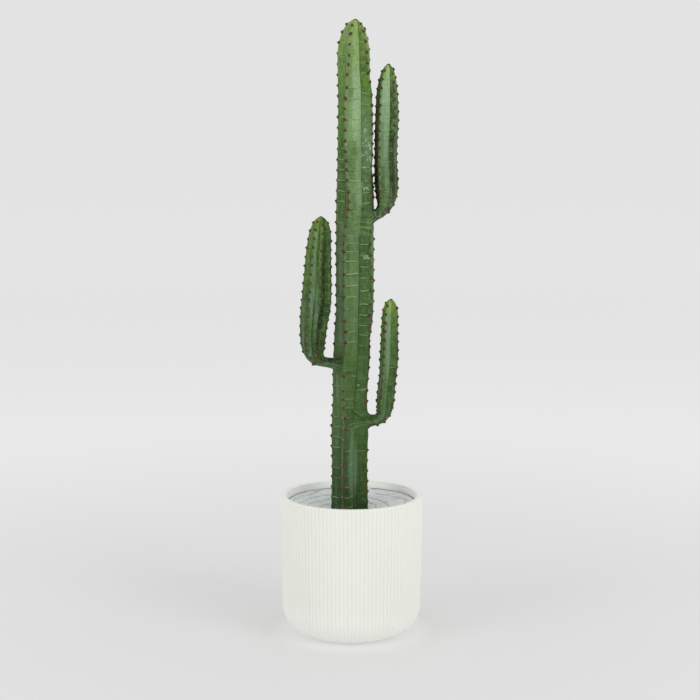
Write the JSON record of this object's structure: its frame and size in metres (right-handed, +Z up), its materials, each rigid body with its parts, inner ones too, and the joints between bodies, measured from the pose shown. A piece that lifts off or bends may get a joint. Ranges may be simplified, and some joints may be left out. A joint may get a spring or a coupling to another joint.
{
  "type": "artificial potted cactus",
  "caption": "Tall ribbed artificial cactus with upswept side arms, standing in pale filler in a round reeded pot.",
  "frame": {"origin": "middle of the pot's flat underside, on the surface that it stands on", "axes": "+Z up along the main stem, -Y towards the front of the plant, +X towards the two right-hand arms"},
  "size_m": [0.26, 0.26, 1.108],
  "materials": {
    "pot": "matte off-white, finely reeded",
    "fill": "pale grey filler with a rippled skin",
    "skin": "moulded green, satin",
    "nubs": "painted red-brown"
  },
  "bodies": {
    "root": {"pot": "pot", "fill": "fill", "main_stem": "skin", "left_arm": "skin", "left_elbow": "skin", "upper_right_arm": "skin", "upper_right_elbow": "skin", "lower_right_arm": "skin", "lower_right_elbow": "skin"}
  },
  "joints": []
}
